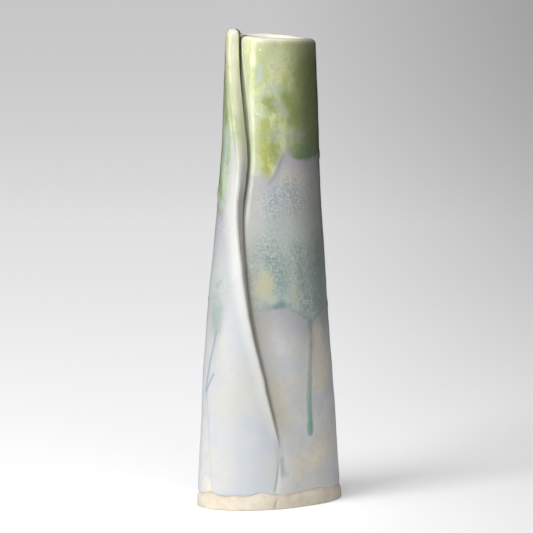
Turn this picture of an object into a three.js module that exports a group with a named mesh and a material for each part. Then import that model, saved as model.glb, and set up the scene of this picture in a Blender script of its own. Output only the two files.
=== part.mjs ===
// A slab-built bud vase: one rolled sheet of clay wrapped past a full turn round a clay floor,
// its outer edge left showing as an S-shaped flap down the front, and glazed in three coats.
// Millimetres, +Z up, the front faces -Y, and the foot stands on z = 0.
// A "turn" is an angle in degrees round the vase: 0 at the front, 90 at the right, 180 at the back.

import * as THREE from 'three';
import { mergeVertices } from 'three/addons/utils/BufferGeometryUtils.js';

// Heights
const RIM_HEIGHT = 234;
const RIM_FALL = 1.6; // the rim is this much lower at the right than at the left
const TIP_RISE = 3.2; // the flap's top corner stands this far above the rim
const TIP_RUN = 34; // the top edge starts to climb this many degrees before that corner
const TIP_LEVEL = 8; // and is level again over the last of them
const HIP_HEIGHT = 58;
const WAIST_DROP = 74; // the waist lies this far below the rim

// How far the clay reaches to the left, right and front of the middle line
const FOOT_LEFT = 34.6;
const FOOT_RIGHT = 35.3;
const FOOT_FRONT = 26.5;
const HIP_LEFT = 30.9;
const HIP_RIGHT = 31.1;
const HIP_FRONT = 24.5;
const WAIST_LEFT = 18.9;
const WAIST_RIGHT = 24.6;
const WAIST_FRONT = 20;
const MOUTH_LEFT = 14.6;
const MOUTH_RIGHT = 21.8;
const MOUTH_FRONT = 18;
const FOOT_FLARE = 1.3; // the raw foot spreads this much past the wall above it
const FLARE_HEIGHT = 6;
const SLANT = 0.33; // each millimetre to the right lies this much further back

// The wrapped sheet
const SLAB = 4.4;
const FOOT_ROUND = 1; // sponged edge under the foot
const HIDDEN_FOOT_TURN = -50; // the sheet's inner end, under the flap, at the foot
const HIDDEN_RIM_TURN = -112; // and at the rim
const CLIMB = 100; // degrees over which the sheet climbs onto its own inner end
const FEATHER = 0.6; // where an edge of the sheet is pressed thin
const SKIVE_SHARE = 0.4; // share of the lap over which the hidden end is thinned
const FEATHER_HEIGHT = 18; // below this the flap's edge is pressed flat to the wall
const FULL_HEIGHT = 145; // above this the flap's edge has the sheet's full thickness
const LAP_SLIP = 0.3; // slip between the flap and the wall under it
const TOP_LIFT = 0.8; // the flap stands off this much more at the rim
const LIFT_DROP = 110; // and starts to stand off this far below the rim

// The flap's edge, from the foot up, as turns at heights above the table or below the rim
const EDGE_FOOT_TURN = 3;
const EDGE_TOE_HEIGHT = 20;
const EDGE_TOE_TURN = 9;
const EDGE_LOW_HEIGHT = 60;
const EDGE_LOW_TURN = -3;
const EDGE_MIDDLE_TURN = -24; // halfway from there to the bend
const EDGE_BEND_DROP = 84;
const EDGE_BEND_TURN = -40;
const EDGE_HIGH_DROP = 58;
const EDGE_HIGH_TURN = -36;
const EDGE_RIM_TURN = -74;

// The floor and its joint
const FLOOR = 7;
const FLOOR_SLIP = 0.6; // slip round the floor's edge
const SLIP_INSET = 0.8; // the slip stops this far inside the joint it fills
const COIL = 6; // leg of the coil smoothed into the inside corner
const SETTLE = 18; // height over which the liner passes from the corner to the wall's own inside

// The glaze
const GLAZE = 0.5;
const CLEARANCE = 0.3; // between any two pieces
const COAT_GAP = 0.5; // between the edges of two coats
const LINER_DROP = 8; // the inside coat stops this far below the rim
const TURNED_IN = 6; // the green coat comes this far over the rim and down the inside
const FOOT_LINE = 7.4; // lower edge of the glaze above the table, and its waves
const FOOT_WAVE = 0.8;
const FOOT_WAVES = 9;
const TEAL_LINE = 94; // lower edge of the teal coat above the table
const TEAL_WAVE = 3;
const TEAL_WAVES = 5;
const GREEN_DROP = 68; // lower edge of the green coat below the rim
const GREEN_WAVE = 4;
const GREEN_WAVES = 7;
const RUN_TURN = 40; // a long run of teal down the right: its middle, half its width, and where it ends
const RUN_HALF = 5;
const RUN_END = 34;
const TEAL_TONGUE = { turn: -66, half: 34, length: 17 }; // a broad sag of teal on the left
const GREEN_TONGUE = { turn: -80, half: 34, length: 22 }; // green down the flap's left

// Columns and rows of the faceted surfaces
const UPRIGHT_LAST = 220; // the columns are upright from the long run round to this turn
const UNDER_COLUMNS = 7;
const FRONT_COLUMNS = 9;
const ROUND_COLUMNS = 22;
const RUN_STEP = 2; // degrees between the extra columns at the long run
const CLIMB_COLUMNS = 10;
const FLAP_COLUMNS = 8;
const NOSE_ANGLES = [25, 50, 70, 88];
const LIP_ANGLES = [30, 60, 86];
const OVER_RIM_ANGLES = [45, 90, 135, 180];
const CORNER_STEPS = 5;
const FLOOR_SHARES = [0.66, 0.33];
const SLIP_FROM = 0.08; // shares of the lap between which its slip lies, back from both edges
const SLIP_TO = 0.72;
const SAME_POINT = 1e-4; // points closer than this are one point
const FLARE_ROWS = 3;
const BODY_ROWS = 21;
const LINER_ROWS = 11;
const LAVENDER_ROWS = 11;
const TEAL_ROWS = 7;
const GREEN_ROWS = 9;

const radians = THREE.MathUtils.degToRad;
const lerp = THREE.MathUtils.lerp;
const smoothstep = THREE.MathUtils.smoothstep;

// A smooth curve of one value over the height
function heightCurve(points) {
  const heights = points.map((point) => point[0]);
  const values = points.map((point) => point[1]);
  const curve = new THREE.CubicInterpolant(heights, values, 1, [0]);
  return (z) => curve.evaluate(z)[0];
}

const waistHeight = RIM_HEIGHT - WAIST_DROP;
const bendHeight = RIM_HEIGHT - EDGE_BEND_DROP;
const greenHeight = RIM_HEIGHT - GREEN_DROP;
const lapGap = LAP_SLIP + 2 * CLEARANCE;
const uprightFirst = RUN_TURN - RUN_HALF - RUN_STEP;

function reachCurve(foot, hip, waist, mouth) {
  const wall = heightCurve([[0, foot], [HIP_HEIGHT, hip], [waistHeight, waist], [RIM_HEIGHT, mouth]]);
  return (z) => wall(z) + FOOT_FLARE * (1 - smoothstep(z, 0, FLARE_HEIGHT));
}

const leftReach = reachCurve(FOOT_LEFT, HIP_LEFT, WAIST_LEFT, MOUTH_LEFT);
const rightReach = reachCurve(FOOT_RIGHT, HIP_RIGHT, WAIST_RIGHT, MOUTH_RIGHT);
const frontReach = reachCurve(FOOT_FRONT, HIP_FRONT, WAIST_FRONT, MOUTH_FRONT);
const edgeTurn = heightCurve([
  [0, EDGE_FOOT_TURN],
  [EDGE_TOE_HEIGHT, EDGE_TOE_TURN],
  [EDGE_LOW_HEIGHT, EDGE_LOW_TURN],
  [(EDGE_LOW_HEIGHT + bendHeight) / 2, EDGE_MIDDLE_TURN],
  [bendHeight, EDGE_BEND_TURN],
  [RIM_HEIGHT - EDGE_HIGH_DROP, EDGE_HIGH_TURN],
  [RIM_HEIGHT, EDGE_RIM_TURN],
]);

// The wall's outer face in plan at one turn and height: the point, and the directions along it and out of it
function planFrame(turn, z) {
  const angle = radians(turn);
  const sin = Math.sin(angle);
  const cos = Math.cos(angle);
  const side = sin < 0 ? leftReach(z) : rightReach(z);
  const front = frontReach(z);
  const point = new THREE.Vector2(side * sin, SLANT * side * sin - front * cos);
  const along = new THREE.Vector2(side * cos, SLANT * side * cos + front * sin);
  const perRadian = along.length();
  along.normalize();
  const out = new THREE.Vector2(along.y, -along.x);
  return { point, along, out, perRadian };
}

// A point off the wall's outer face: out of it, and along it
function skinPoint(turn, z, out, along = 0) {
  const frame = planFrame(turn, z);
  const flat = frame.point.clone();
  flat.addScaledVector(frame.out, out);
  flat.addScaledVector(frame.along, along);
  return new THREE.Vector3(flat.x, flat.y, z);
}

// Degrees of turn that a length takes along the wall
function turnOf(length, turn, z) {
  return THREE.MathUtils.radToDeg(length / planFrame(turn, z).perRadian);
}

// The lap: gap under the flap's edge, thickness of that edge, and how far its face stands off the wall
function edgeGap(z) {
  return lapGap + TOP_LIFT * smoothstep(z, RIM_HEIGHT - LIFT_DROP, RIM_HEIGHT);
}

function edgeThickness(z) {
  return lerp(FEATHER, SLAB, smoothstep(z, FEATHER_HEIGHT, FULL_HEIGHT));
}

function flapRise(z) {
  return edgeGap(z) + edgeThickness(z);
}

// The glaze's whole stand-off, and where a coat starts beside the flap's glazed edge
const coatTop = CLEARANCE + GLAZE;
const coatStart = coatTop + CLEARANCE;

function hiddenTurn(z) {
  return lerp(HIDDEN_FOOT_TURN, HIDDEN_RIM_TURN, z / RIM_HEIGHT);
}

// The sheet at one column and height: its turn, and its outer and inner faces off the wall's outer face
function sheetAt(column, z) {
  const edge = edgeTurn(z);
  const hidden = hiddenTurn(z);
  const rise = flapRise(z);
  const thin = edgeThickness(z);
  if (column.zone === 'under') {
    const outer = rise - lerp(SLAB, thin, column.share) - edgeGap(z);
    const thickness = lerp(FEATHER, SLAB + outer, smoothstep(column.share, 0, SKIVE_SHARE));
    return { turn: lerp(hidden, edge, column.share), outer, inner: outer - thickness };
  }
  if (column.zone === 'front') {
    const start = edge + turnOf(coatStart, edge, z);
    return { turn: lerp(start, uprightFirst, column.share), outer: 0, inner: -SLAB };
  }
  if (column.zone === 'round' || column.zone === 'climb') {
    const turn = column.zone === 'round' ? column.turn : lerp(UPRIGHT_LAST, hidden + 360, column.share);
    const outer = rise * smoothstep(turn, hidden + 360 - CLIMB, hidden + 360);
    return { turn, outer, inner: outer - SLAB };
  }
  const flapEnd = edge - turnOf(thin / 2, edge, z);
  const turn = 360 + lerp(hidden, flapEnd, column.share);
  return { turn, outer: rise, inner: rise - lerp(SLAB, thin, column.share) };
}

function shares(count) {
  return Array.from({ length: count }, (_, index) => index / (count - 1));
}

// Upright columns round the right, back and left, with closer ones at the long run
function roundTurns() {
  const even = shares(ROUND_COLUMNS).map((share) => lerp(uprightFirst, UPRIGHT_LAST, share));
  const away = even.filter((turn) => turn === uprightFirst || turn > RUN_TURN + RUN_HALF + RUN_STEP);
  const steps = Math.ceil(RUN_HALF / RUN_STEP);
  const near = shares(2 * steps + 1).map((share) => RUN_TURN + (2 * share - 1) * RUN_HALF);
  return [...away, ...near].sort((a, b) => a - b);
}

const underColumns = shares(UNDER_COLUMNS).map((share) => ({ zone: 'under', share, nose: 0 }));
const frontColumns = shares(FRONT_COLUMNS).slice(0, -1).map((share) => ({ zone: 'front', share, nose: 0 }));
const roundColumns = roundTurns().slice(0, -1).map((turn) => ({ zone: 'round', turn, nose: 0 }));
const climbColumns = shares(CLIMB_COLUMNS).slice(0, -1).map((share) => ({ zone: 'climb', share, nose: 0 }));
const flapColumns = shares(FLAP_COLUMNS).map((share) => ({ zone: 'flap', share, nose: 0 }));
const noseColumns = NOSE_ANGLES.map((nose) => ({ zone: 'flap', share: 1, nose }));
const coatColumns = [...frontColumns, ...roundColumns, ...climbColumns, ...flapColumns, ...noseColumns];
const sheetColumns = [...underColumns, ...coatColumns];

// The height of the rim's crown at a column
function crownHeight(column) {
  const turn = sheetAt(column, RIM_HEIGHT).turn;
  const tipTurn = 360 + edgeTurn(RIM_HEIGHT);
  const tip = TIP_RISE * smoothstep(turn, tipTurn - TIP_RUN, tipTurn - TIP_LEVEL);
  const skived = column.zone === 'under' ? 1 - smoothstep(column.share, 0, SKIVE_SHARE) : 0;
  return RIM_HEIGHT - RIM_FALL * (1 + Math.sin(radians(turn))) / 2 + tip - SLAB * skived;
}

function halfThickness(column, z) {
  const sheet = sheetAt(column, z);
  return (sheet.outer - sheet.inner) / 2;
}

// Where the upright faces end and the round lip begins
function lipStart(column) {
  return crownHeight(column) - halfThickness(column, RIM_HEIGHT);
}

// A point on the sheet's face, or off it by a stand-off. Side 1 is the outer face and -1 the inner one.
// The nose is the round of the flap's edge and the lip that of the rim, in degrees from the outer face.
function facePoint(column, z, side, standOff = 0, lip = 0) {
  const sheet = sheetAt(column, z);
  const middle = (sheet.outer + sheet.inner) / 2;
  const half = (sheet.outer - sheet.inner) / 2 + standOff;
  const nose = radians(column.nose);
  const round = radians(lip);
  const out = middle + side * half * Math.cos(nose) * Math.cos(round);
  const along = half * Math.sin(nose) * Math.abs(Math.cos(round));
  const point = skinPoint(sheet.turn, z, out, along);
  point.z += half * Math.sin(round);
  return point;
}

// Triangles over a grid of points. A ring closes each row on itself, a loop closes the last row on the first.
function gridTriangles(rows, ring, loop) {
  const triangles = [];
  const rowCount = loop ? rows.length : rows.length - 1;
  const columnCount = ring ? rows[0].length : rows[0].length - 1;
  for (let row = 0; row < rowCount; row += 1) {
    const lower = rows[row];
    const upper = rows[(row + 1) % rows.length];
    for (let column = 0; column < columnCount; column += 1) {
      const next = (column + 1) % lower.length;
      triangles.push([lower[column], lower[next], upper[next]]);
      triangles.push([lower[column], upper[next], upper[column]]);
    }
  }
  return triangles;
}

// One closed body from triangles: shared points merged, empty triangles dropped, faces turned outwards
function closedBody(triangles) {
  const soup = new THREE.BufferGeometry();
  soup.setFromPoints(triangles.flat());
  const merged = mergeVertices(soup, SAME_POINT);
  const position = merged.getAttribute('position');
  const index = [];
  const corners = [new THREE.Vector3(), new THREE.Vector3(), new THREE.Vector3()];
  let sixVolumes = 0;
  for (let start = 0; start < merged.index.count; start += 3) {
    const [a, b, c] = [0, 1, 2].map((step) => merged.index.getX(start + step));
    if (a === b || b === c || c === a) continue;
    [a, b, c].forEach((vertex, step) => corners[step].fromBufferAttribute(position, vertex));
    sixVolumes += corners[0].dot(corners[1].clone().cross(corners[2]));
    index.push(a, b, c);
  }
  if (sixVolumes < 0) index.reverse();
  merged.setIndex(index);
  merged.computeVertexNormals();
  return merged;
}

// A thick sheet between an outer and an inner grid of the same size, open at its two ends or closed to a ring
function thickSheet(outer, inner, ring = false) {
  const triangles = gridTriangles([...outer, ...inner.slice().reverse()], ring, true);
  if (!ring) {
    const last = outer[0].length - 1;
    const firstEnd = outer.map((row, index) => [inner[index][0], row[0]]);
    const lastEnd = outer.map((row, index) => [row[last], inner[index][last]]);
    triangles.push(...gridTriangles(firstEnd, false, false), ...gridTriangles(lastEnd, false, false));
  }
  return closedBody(triangles);
}

// The sheet of clay: sponged and flared foot, upright faces, round lip
function wallSlab() {
  const sponged = (column) => -Math.min(FOOT_ROUND, halfThickness(column, 0) / 2);
  const face = (side) => {
    const under = sheetColumns.map((column) => facePoint(column, 0, side, sponged(column)));
    const flare = shares(FLARE_ROWS).slice(0, -1).map((share) =>
      sheetColumns.map((column) => facePoint(column, lerp(FOOT_ROUND, FLARE_HEIGHT, share), side)));
    const body = shares(BODY_ROWS).map((share) =>
      sheetColumns.map((column) => facePoint(column, lerp(FLARE_HEIGHT, lipStart(column), share), side)));
    const lip = LIP_ANGLES.map((angle) =>
      sheetColumns.map((column) => facePoint(column, lipStart(column), side, 0, angle)));
    return [under, ...flare, ...body, ...lip];
  };
  return thickSheet(face(1), face(-1));
}

// Rings of the wall's plan at a height, off its outer face, on the sheet's own columns
const ringColumns = [...underColumns, ...frontColumns, ...roundColumns, ...climbColumns];

function planRing(z, out) {
  return ringColumns.map((column) => skinPoint(sheetAt(column, z).turn, z, out));
}

function polePoints(z) {
  return ringColumns.map(() => new THREE.Vector3(0, 0, z));
}

// The floor fits inside the wall with its joint round it
const floorOut = -(SLAB + FLOOR_SLIP + 2 * CLEARANCE);

function floorSlab() {
  const rows = [polePoints(0), planRing(0, floorOut), planRing(FLOOR, floorOut), polePoints(FLOOR)];
  return closedBody(gridTriangles(rows, true, false));
}

// Slip in the joint between floor and wall
function floorSlip() {
  const heights = [SLIP_INSET, FLOOR - SLIP_INSET];
  const outer = heights.map((z) => planRing(z, -(SLAB + CLEARANCE)));
  const inner = heights.map((z) => planRing(z, floorOut + CLEARANCE));
  return thickSheet(outer, inner, true);
}

// The inside corner's hollow curve, from the wall down to the floor, as steps off the wall's inner face
const cornerSteps = shares(CORNER_STEPS).map((share) => {
  const angle = radians(90 * share);
  return { inward: COIL * (1 - Math.cos(angle)), rise: COIL * (1 - Math.sin(angle)) };
});
const wallInside = -(SLAB + CLEARANCE);
const floorTop = FLOOR + CLEARANCE;

// The coil smoothed into that corner
function floorCoil() {
  const corner = planRing(floorTop, wallInside);
  const hollow = cornerSteps.map((step) => planRing(floorTop + step.rise, wallInside - step.inward));
  return closedBody(gridTriangles([corner, ...hollow], true, true));
}

// Slip between the flap and the wall under it, kept back from the flap's edge where that stands off
function lapSlip() {
  const slipColumns = shares(UNDER_COLUMNS).map((share) => lerp(SLIP_FROM, SLIP_TO, share));
  const heights = shares(BODY_ROWS).map((share) => lerp(FOOT_LINE, RIM_HEIGHT - LINER_DROP, share));
  const face = (offset) => heights.map((z) => slipColumns.map((share) => {
    const under = sheetAt({ zone: 'under', share }, z);
    return skinPoint(under.turn, z, under.outer + offset(z));
  }));
  return thickSheet(face((z) => edgeGap(z) - CLEARANCE), face(() => CLEARANCE));
}

// How far inside the wall's outer face the liner lies at a column: it bridges the step at the hidden end
function insideOut(column, z) {
  return Math.min(sheetAt(column, z).inner, sheetAt(underColumns[0], z).inner);
}

// The liner: a cup of glaze over the wall, the corner and the floor
function linerGlaze() {
  const wallFoot = floorTop + COIL + CLEARANCE;
  const face = (standOff) => {
    const wall = shares(LINER_ROWS).map((share) => ringColumns.map((column) => {
      const z = lerp(RIM_HEIGHT - RIM_FALL - LINER_DROP, wallFoot, share);
      const settle = smoothstep(z, wallFoot, wallFoot + SETTLE);
      const inside = lerp(wallInside, insideOut(column, z), settle);
      return skinPoint(sheetAt(column, z).turn, z, inside - standOff);
    }));
    const corner = cornerSteps.slice(1).map((step) =>
      planRing(floorTop + step.rise + standOff + CLEARANCE, wallInside - step.inward - standOff));
    const floor = FLOOR_SHARES.map((share) =>
      corner[corner.length - 1].map((point) => new THREE.Vector3(point.x * share, point.y * share, point.z)));
    const pole = corner[corner.length - 1].map((point) => new THREE.Vector3(0, 0, point.z));
    return [...wall, ...corner, ...floor, pole];
  };
  return thickSheet(face(CLEARANCE), face(CLEARANCE + GLAZE), true);
}

// How far round a turn lies from the middle of a run or tongue, in half widths of it
function awayFrom(middle, half, turn) {
  return Math.abs(THREE.MathUtils.euclideanModulo(turn - middle + 180, 360) - 180) / half;
}

// The long run: how far it hangs below its coat's edge at a turn, with straight sides and a round end
function runLength(turn) {
  const away = awayFrom(RUN_TURN, RUN_HALF, turn);
  return away < 1 ? (TEAL_LINE - RUN_END) * Math.sqrt(1 - away ** 4) : 0;
}

// A soft tongue of glaze
function tongueLength(tongue, turn) {
  const away = awayFrom(tongue.turn, tongue.half, turn);
  return away < 1 ? tongue.length * (1 + Math.cos(Math.PI * away)) / 2 : 0;
}

// The wavy lower edges of the coats
function footLine(turn) {
  return FOOT_LINE + FOOT_WAVE * Math.sin(radians(FOOT_WAVES * turn));
}

function tealLine(turn) {
  const wave = TEAL_WAVE * Math.sin(radians(TEAL_WAVES * (turn - RUN_TURN)));
  return TEAL_LINE + wave - runLength(turn) - tongueLength(TEAL_TONGUE, turn);
}

function greenLine(turn) {
  const wave = GREEN_WAVE * Math.sin(radians(GREEN_WAVES * turn));
  return greenHeight + wave - tongueLength(GREEN_TONGUE, turn);
}

// One coat on the sheet's outer face between two edges, with rows that carry it over the rim if it has them
function glazeCoat(lowLine, highLine, rowCount, overRim) {
  const face = (standOff) => {
    const body = shares(rowCount).map((share) => coatColumns.map((column) => {
      const low = lowLine(sheetAt(column, lowLine(0)).turn);
      const z = lerp(low, highLine(column), share);
      return facePoint(column, z, 1, standOff);
    }));
    return [...body, ...overRim(standOff)];
  };
  return thickSheet(face(coatTop), face(CLEARANCE));
}

function noRim() {
  return [];
}

// The green coat's rows over the rim and down the inside
function greenRim(standOff) {
  const lip = OVER_RIM_ANGLES.map((angle) =>
    coatColumns.map((column) => facePoint(column, lipStart(column), 1, standOff, angle)));
  const inside = coatColumns.map((column) =>
    facePoint(column, crownHeight(column) - TURNED_IN, 1, standOff, 180));
  return [...lip, inside];
}

function below(line) {
  return (column) => line(sheetAt(column, line(0)).turn) - COAT_GAP;
}

// Materials
function finish(color, roughness) {
  return new THREE.MeshStandardMaterial({ color, roughness, metalness: 0 });
}

function piece(name, geometry, material) {
  const mesh = new THREE.Mesh(geometry, material);
  mesh.name = name;
  return mesh;
}

const vase = new THREE.Group();
vase.add(
  piece('wall_slab', wallSlab(), finish(0xdcd0b4, 0.85)),
  piece('floor_slab', floorSlab(), finish(0xd8cbae, 0.9)),
  piece('floor_slip', floorSlip(), finish(0xcdbf9f, 0.9)),
  piece('floor_coil', floorCoil(), finish(0xd3c6a8, 0.9)),
  piece('lap_slip', lapSlip(), finish(0xcdbf9f, 0.9)),
  piece('liner_glaze', linerGlaze(), finish(0xcfd6b8, 0.2)),
  piece('lavender_glaze', glazeCoat(footLine, below(tealLine), LAVENDER_ROWS, noRim), finish(0xd3d5da, 0.2)),
  piece('teal_glaze', glazeCoat(tealLine, below(greenLine), TEAL_ROWS, noRim), finish(0x93a9a9, 0.18)),
  piece('green_glaze', glazeCoat(greenLine, lipStart, GREEN_ROWS, greenRim), finish(0x96a869, 0.15)),
);

// The origin lies under the middle of the vase
const box = new THREE.Box3().setFromObject(vase);
const middle = box.getCenter(new THREE.Vector3());
vase.position.set(-middle.x, -middle.y, 0);

export default vase;
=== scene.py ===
# %% [markdown]
# A slab-built bud vase, dressed for its portrait.
# The potter rolled one sheet of clay, wrapped it past a full turn round a clay floor and left its outer
# edge showing as a curved flap down the front. Three glazes then ran into each other in the kiln.
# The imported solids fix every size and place, so this lesson starts by loading them as a frame.

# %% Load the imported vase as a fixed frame
from math import atan2, cos, degrees, exp, pi, radians, sin, sqrt

import bpy
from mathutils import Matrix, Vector, noise
from mathutils.geometry import intersect_point_line


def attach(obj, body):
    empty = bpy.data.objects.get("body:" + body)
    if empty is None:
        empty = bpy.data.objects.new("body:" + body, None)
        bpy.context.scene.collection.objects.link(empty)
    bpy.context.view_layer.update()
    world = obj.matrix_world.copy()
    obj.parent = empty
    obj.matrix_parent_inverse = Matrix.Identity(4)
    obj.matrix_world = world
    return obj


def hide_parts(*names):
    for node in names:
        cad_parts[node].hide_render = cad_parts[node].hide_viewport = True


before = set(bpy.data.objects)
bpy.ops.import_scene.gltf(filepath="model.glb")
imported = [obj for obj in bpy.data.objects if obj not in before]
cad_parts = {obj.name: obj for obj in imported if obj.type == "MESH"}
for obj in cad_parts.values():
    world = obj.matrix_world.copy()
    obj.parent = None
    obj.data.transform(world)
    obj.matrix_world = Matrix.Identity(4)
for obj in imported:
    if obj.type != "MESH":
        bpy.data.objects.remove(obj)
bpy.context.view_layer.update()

MM = 0.001
print("Solids:", sorted(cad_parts))

# %% [markdown]
# The camera stands where the photographer's did: about two metres away and a little above the rim,
# with a long lens, so the sides of the vase hardly draw together. It is made first, because every
# later choice is judged through it. A camera is added with its turn worked out from where it looks.

# %% Camera
CAMERA_PLACE = Vector((0.0, -2.1, 0.375))
LOOK_AT = Vector((-0.0015, 0.0, 0.1186))
LENS = 285.8

looking = (LOOK_AT - CAMERA_PLACE).to_track_quat("-Z", "Y").to_euler()
bpy.ops.object.select_all(action="DESELECT")
bpy.ops.object.camera_add(location=CAMERA_PLACE, rotation=looking)
camera = bpy.context.object
camera.data.lens = LENS
camera.data.clip_end = 100.0
bpy.context.scene.camera = camera
bpy.context.scene.view_settings.view_transform = "Standard"
print("Camera looks down by degrees:", round(90 - degrees(looking.x), 2))

# %% [markdown]
# The plan of the vase is a leaning oval that changes with height. A "turn" is an angle round it in
# degrees: 0 at the front, 90 at the right, 180 at the back. The reaches to the left, right and front
# are smooth curves over the height, in millimetres, and they are the same ones the solids have.

# %% Curves of the plan
RIM = 234.0
SLANT = 0.33
OFFSET = (0.177, 0.684)


def curve_through(points):
    """A smooth curve through pairs of place and value."""
    places = [point[0] for point in points]
    values = [point[1] for point in points]
    last = len(points) - 1

    def value_at(place):
        upper = 1
        while upper < last and place >= places[upper]:
            upper += 1
        lower = upper - 1
        before = lower - 1 if lower > 0 else upper
        after = upper + 1 if upper < last else lower
        span = places[upper] - places[lower]
        lean_in = 0.5 * span / (places[lower] - places[before])
        lean_out = 0.5 * span / (places[after] - places[upper])
        step = (place - places[lower]) / span
        square = step * step
        cube = square * step
        from_before = -lean_in * cube + 2 * lean_in * square - lean_in * step
        from_lower = (1 + lean_in) * cube - (1.5 + 2 * lean_in) * square + (lean_in - 0.5) * step + 1
        from_upper = -(1 + lean_out) * cube + (1.5 + lean_out) * square + 0.5 * step
        from_after = lean_out * (cube - square)
        return (values[before] * from_before + values[lower] * from_lower
                + values[upper] * from_upper + values[after] * from_after)

    return value_at


def blend(low, high, share):
    return low + (high - low) * share


def ease(value, low, high):
    """0 below low, 1 above high, and a soft step between."""
    share = min(max((value - low) / (high - low), 0.0), 1.0)
    return share * share * (3 - 2 * share)


left_reach = curve_through([(0, 34.6), (58, 30.9), (160, 18.9), (RIM, 14.6)])
right_reach = curve_through([(0, 35.3), (58, 31.1), (160, 24.6), (RIM, 21.8)])
front_reach = curve_through([(0, 26.5), (58, 24.5), (160, 20), (RIM, 18)])
edge_turn = curve_through([(0, 3), (20, 9), (60, -3), (105, -24), (150, -40), (176, -36), (RIM, -74)])


def plan(turn, height):
    """The wall's plan point, and the unit directions along it and out of it, in millimetres."""
    angle = radians(turn)
    side = left_reach(height) if sin(angle) < 0 else right_reach(height)
    front = front_reach(height)
    x = side * sin(angle)
    along = Vector((side * cos(angle), SLANT * side * cos(angle) + front * sin(angle)))
    per_degree = along.length * pi / 180
    along.normalize()
    point = Vector((x + OFFSET[0], SLANT * x - front * cos(angle) + OFFSET[1]))
    return point, along, Vector((along.y, -along.x)), per_degree


def spot_on(turn, height, out, along=0.0, up=0.0):
    """A point off the wall, in metres."""
    point, tangent, outward = plan(turn, height)[:3]
    flat = point + outward * out + tangent * along
    return Vector((flat.x, flat.y, height + up)) * MM


print("Mouth and foot across in mm:",
      round(left_reach(RIM) + right_reach(RIM), 1), round(left_reach(0) + right_reach(0), 1))

# %% [markdown]
# The sheet laps over itself at the front left. High up, the flap keeps the slab's full thickness and
# stands off the wall. Low down it is pressed thin and sinks into the wall until only a crease is left.
# One function gives the sheet at any column and height, and every later piece asks it.

# %% The lap
SLAB = 4.4
FEATHER = 0.6
COAT = 0.8
HIDDEN_FOOT = -50.0
HIDDEN_RIM = -112.0
CLIMB = 100.0
FAN_END = 95.0
UPRIGHT_END = 220.0
GAP_LOW = 0.9
GAP_WIDENS = 0.8
ROLL_UNDER = 1.5
TIP_CLIMB = 3.2
BACK_DIP = 0.9


def lap_gap(height):
    return GAP_LOW + GAP_WIDENS * ease(height, RIM - 110, RIM)


def edge_thickness(height):
    return blend(FEATHER, SLAB, ease(height, 18, 145))


def flap_rise(height):
    return lap_gap(height) + edge_thickness(height)


def sunk(height):
    """How far the lap's step is smoothed away into the wall: 1 at the foot, 0 from a fifth up."""
    return 1 - ease(height, 20, 47)


def hidden_turn(height):
    return blend(HIDDEN_FOOT, HIDDEN_RIM, height / RIM)


def beside_flap(height, right_of_edge):
    """The wall beside the flap: lifted to meet it low down, rolled under it high up."""
    lift = flap_rise(height) * sunk(height) * (1 - ease(right_of_edge, 0, 18))
    roll = ROLL_UNDER * ease(height, 138, 172) * (1 - ease(right_of_edge, -0.5, 3.4))
    return lift - roll


def sheet_at(zone, place, height):
    """Turn of a column of the sheet, and its outer and inner clay faces off the plan curve."""
    edge = edge_turn(height)
    rise = flap_rise(height)
    hidden = hidden_turn(height)
    if zone == "under":
        outer = rise - blend(SLAB, edge_thickness(height), place) - lap_gap(height)
        thickness = blend(FEATHER, SLAB + outer, ease(place, 0, 0.4))
        return blend(hidden, edge, place), outer, outer - thickness
    if zone == "front":
        turn = blend(edge, FAN_END, place)
        outer = beside_flap(height, (turn - edge) * plan(edge, height)[3])
        return turn, outer, -SLAB
    if zone == "round":
        turn = blend(FAN_END, UPRIGHT_END, place)
    elif zone == "climb":
        turn = blend(UPRIGHT_END, hidden + 360, place)
    else:
        return 360 + blend(hidden, edge, place), rise, rise - blend(SLAB, edge_thickness(height), place)
    outer = rise * ease(turn, hidden + 360 - CLIMB, hidden + 360)
    return turn, outer, outer - SLAB


def crown(zone, place):
    """Height of the rim's crest: lowest at the back right, climbing to the flap's tip."""
    turn = sheet_at(zone, place, RIM)[0]
    tip = 360 + edge_turn(RIM)
    climb = TIP_CLIMB * ease(turn, tip - 34, tip - 8)
    dip = BACK_DIP * exp(-((turn - 122) / 34) ** 2)
    skived = SLAB * (1 - ease(place, 0, 0.4)) if zone == "under" else 0
    lean = 0.8 * (1 + sin(radians(turn))) + 0.7 * max(sin(radians(turn)), 0) ** 2
    return RIM - lean - dip + climb - skived


print("Flap stands off the wall in mm at foot, middle and rim:",
      [round(flap_rise(height), 1) for height in (0, RIM / 2, RIM)])

# %% [markdown]
# The raw foot shows at the bottom because potters wipe the glaze off before firing, or it would stick
# to the kiln shelf. The wiped line is never even, so its height is a wavy curve with a few notches.

# %% The wiped line above the foot
WIPED_HEIGHT = 7.3
NOTCHES = [(-57, 1.3, 8.0), (-8, 1.5, 5.5), (38, 1.5, 13.0),
           (118, 1.2, 9.0), (171, 1.5, 8.0), (228, 1.3, 10.0)]


def wiped_line(turn):
    """Height of the glaze's lower edge above the table."""
    around = (turn + 180) % 360 - 180
    wave = 0.7 * noise.noise(Vector((around * 0.11, 3.7, 0.0)))
    wave += 0.35 * noise.noise(Vector((around * 0.45, 8.1, 0.0)))
    notch = 0.0
    for middle, depth, half in NOTCHES:
        notch += depth * exp(-((around - (middle + 180) % 360 + 180) / half) ** 2)
    return WIPED_HEIGHT + wave + notch


print("Raw band in mm:", [round(wiped_line(turn), 1) for turn in range(-80, 81, 40)])

# %% [markdown]
# Now the potter's sheet of clay. A real one is rolled flat, cut, and wrapped. Here a grid primitive is
# the rolled face, an extrude gives it a second face under the first, and a mapping wraps both round
# the plan. A cylinder could be bent to the plan too, but it has no lap, and the lap is the whole design.

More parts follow.
